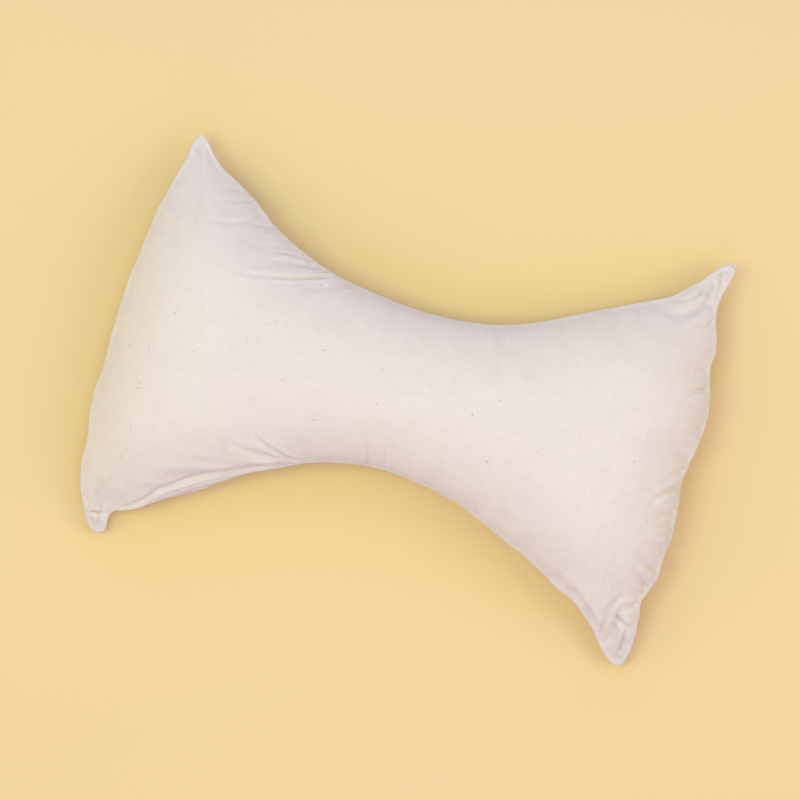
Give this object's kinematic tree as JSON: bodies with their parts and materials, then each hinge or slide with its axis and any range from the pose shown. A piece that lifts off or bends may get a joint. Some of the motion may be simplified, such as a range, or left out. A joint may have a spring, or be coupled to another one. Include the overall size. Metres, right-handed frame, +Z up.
{
  "type": "cervical pillow",
  "caption": "Bow-tie neck pillow of stuffed plain cotton, drawn in to a neck roll between two broad wings with thin empty corners.",
  "frame": {"origin": "on the surface the pillow lies on, under the middle of its bounding box", "axes": "+X along the pillow from one wing to the other, +Y across it towards the far side, +Z up through the crown"},
  "size_m": [0.619, 0.4328, 0.1089],
  "materials": {
    "unbleached_cotton": "matte unbleached plain-weave cotton with fine seed flecks, slightly slubbed"
  },
  "bodies": {
    "root": {"pillow": "unbleached_cotton"}
  },
  "joints": []
}
